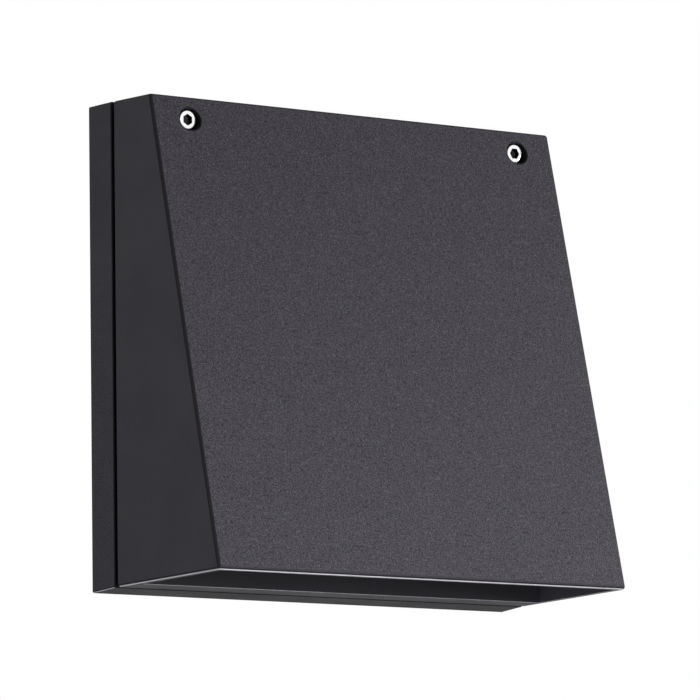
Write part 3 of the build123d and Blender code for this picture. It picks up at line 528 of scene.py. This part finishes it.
def ringed_mesh(name, rings, x, z):
    """Join the rings, round an axis that points to the front, and close both ends."""
    mesh = bpy.data.meshes.new(name)
    build = bmesh.new()
    rows = []
    for depth, radii, finish in rings:
        row = []
        for step, radius in enumerate(radii):
            angle = math.tau * step / AROUND
            place = (x + radius * math.sin(angle), -depth, z + radius * math.cos(angle))
            row.append(build.verts.new(place))
        rows.append(row)
    for number in range(1, len(rows)):
        for step in range(AROUND):
            beside = (step + 1) % AROUND
            face = build.faces.new((rows[number - 1][step], rows[number - 1][beside],
                                    rows[number][beside], rows[number][step]))
            face.material_index = rings[number][2]
            face.smooth = True
    build.faces.new(rows[0])
    build.faces.new(rows[-1]).material_index = DARK
    bmesh.ops.remove_doubles(build, verts=build.verts, dist=1e-7)
    bmesh.ops.recalc_face_normals(build, faces=build.faces)
    build.to_mesh(mesh)
    build.free()
    return mesh


def make_screw(side, corner_turn):
    """The screw that stands for one captive screw, round the same axis."""
    node = "captive_screw_" + side
    low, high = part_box(node)
    x = (low[0] + high[0]) / 2
    z = (low[2] + high[2]) / 2
    mesh = ringed_mesh("detailed_screw_" + side, screw_rings(node, corner_turn), x, z)
    mesh.set_sharp_from_angle(angle=SHARP_ANGLE)
    piece = bpy.data.objects.new("detailed_screw_" + side, mesh)
    bpy.context.scene.collection.objects.link(piece)
    # polished steel, then painted shade for the socket and for the head's side
    for finish in (POLISHED, PAINTED_SOCKET_SHADE, PAINTED_HEAD_SHADE):
        mesh.materials.append(finish)
    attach(piece, "screw_" + side)
    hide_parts(node)


make_screw("left", 0.0)
make_screw("right", math.radians(30))


# ---- LED packages: white body, recessed yellow window ------------------------------------------------
LED_COLUMNS = 8
LED_ROWS = 2
LED_SIZE = 3.0 * MM
LED_WINDOW = 1.15 * MM
LED_DISH = 0.12 * MM
LED_BEVEL = 0.15 * MM
WINDOW_TAPER = 0.9  # the window's floor, as a share of its rim
SQUARE_CORNERS = ((-1, -1), (1, -1), (1, 1), (-1, 1))
WINDOW_STEPS = 20


def led_places():
    """Middles of the chips, from the corners of the box that holds them all."""
    low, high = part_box("led_chips")
    places = []
    for column in range(LED_COLUMNS):
        for row in range(LED_ROWS):
            x = low[0] + LED_SIZE / 2 + (high[0] - low[0] - LED_SIZE) * column / (LED_COLUMNS - 1)
            y = low[1] + LED_SIZE / 2 + (high[1] - low[1] - LED_SIZE) * row / (LED_ROWS - 1)
            places.append((x, y))
    return places


def square_ring(build, x, y, half, level):
    return [build.verts.new((x + a * half, y + b * half, level)) for a, b in SQUARE_CORNERS]


def round_ring(build, x, y, radius, level):
    ring = []
    for step in range(WINDOW_STEPS):
        angle = math.tau * step / WINDOW_STEPS
        ring.append(build.verts.new((x + radius * math.sin(angle), y + radius * math.cos(angle), level)))
    return ring


def join_rings(build, first, second):
    """Faces from each side of one ring to the same side of the next."""
    for number in range(len(first)):
        beside = (number + 1) % len(first)
        build.faces.new((first[number], first[beside], second[beside], second[number]))


def led_package(build, x, y, low, high):
    """A bevelled box, with a round window sunk a little into its lower face."""
    half = LED_SIZE / 2
    back = square_ring(build, x, y, half, high)
    side = square_ring(build, x, y, half, low + LED_BEVEL)
    front = square_ring(build, x, y, half - LED_BEVEL, low)
    build.faces.new(back)
    join_rings(build, back, side)
    join_rings(build, side, front)
    rim = round_ring(build, x, y, LED_WINDOW, low)
    floor = round_ring(build, x, y, WINDOW_TAPER * LED_WINDOW, low + LED_DISH)
    edges = []
    for step in range(WINDOW_STEPS):
        edges.append(build.edges.new((rim[step], rim[(step + 1) % WINDOW_STEPS])))
    for corner in range(4):
        edges.append(build.edges.get((front[corner], front[(corner + 1) % 4])))
    bmesh.ops.triangle_fill(build, use_beauty=True, edges=edges)
    join_rings(build, rim, floor)
    build.faces.new(floor).material_index = 1


def make_leds():
    """All packages as one piece, which stands for the plain chips."""
    low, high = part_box("led_chips")
    mesh = bpy.data.meshes.new("led_packages")
    build = bmesh.new()
    for x, y in led_places():
        led_package(build, x, y, low[2], high[2])
    bmesh.ops.recalc_face_normals(build, faces=build.faces)
    build.to_mesh(mesh)
    build.free()
    piece = bpy.data.objects.new("led_packages", mesh)
    bpy.context.scene.collection.objects.link(piece)
    mesh.materials.append(MATERIALS["white_plastic"])
    mesh.materials.append(MATERIALS["led_phosphor"])
    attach(piece, "housing")
    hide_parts("led_chips")


make_leds()


# ---- floor, world and lamps -----------------------------------------------------------------------
FLOOR_Z = -3.2
FLOOR_SIZE = 60.0
FLOOR_SEEN = 0.45  # added where the camera, a reflection or glass looks at the floor
AMBIENT = 0.2
LAMP_TARGET = Vector((0, -0.05, 0))


def make_floor():
    mesh = bpy.data.meshes.new("floor")
    half = FLOOR_SIZE / 2
    corners = [(-half, -half, FLOOR_Z), (half, -half, FLOOR_Z), (half, half, FLOOR_Z),
               (-half, half, FLOOR_Z)]
    mesh.from_pydata(corners, [], [(0, 1, 2, 3)])
    floor = bpy.data.objects.new("floor", mesh)
    bpy.context.scene.collection.objects.link(floor)
    material = plain("floor", grey(0.78), grey(0.8), 0.8, 0.9, scale=3.0, bump_distance=0.0)
    mesh.materials.append(material)
    shader = shader_of(material)
    shader.inputs["Emission Color"].default_value = (1, 1, 1, 1)
    glow = maths(material, "MULTIPLY", seen_directly(material), FLOOR_SEEN)
    link(material, glow, shader.inputs["Emission Strength"])


def make_world():
    """White where it is looked at, and AMBIENT as light on the object."""
    world = bpy.data.worlds.new("studio")
    world.use_nodes = True
    bpy.context.scene.world = world
    background = world.node_tree.nodes["Background"]
    strength = maths(world, "MULTIPLY_ADD", seen_directly(world), 1.0 - AMBIENT, AMBIENT)
    background.inputs["Color"].default_value = (1, 1, 1, 1)
    link(world, strength, background.inputs["Strength"])


def make_lamp(name, azimuth, elevation, distance, size, power):
    """A square soft box that shines at the middle of the object; angles in degrees, power in watts."""
    turn = math.radians(azimuth)
    rise = math.radians(elevation)
    out = Vector((math.sin(turn) * math.cos(rise), -math.cos(turn) * math.cos(rise), math.sin(rise)))
    data = bpy.data.lights.new(name, "AREA")
    data.shape = "SQUARE"
    data.size = size
    data.energy = power
    lamp = bpy.data.objects.new(name, data)
    bpy.context.scene.collection.objects.link(lamp)
    lamp.location = out * distance
    aim = LAMP_TARGET - lamp.location
    lamp.rotation_euler = aim.to_track_quat("-Z", "Y").to_euler()


make_floor()
make_world()
make_lamp("front_box", 0, 10, 2.0, 1.0, 7.8)
make_lamp("right_box", 60, 0, 0.9, 0.4, 6.3)
make_lamp("low_left_box", -10, -20, 0.6, 0.3, 1.75)
make_lamp("rear_left_box", -140, 20, 1.8, 1.0, 1.4)
make_lamp("under_box", -120, -50, 2.0, 1.0, 7.0)
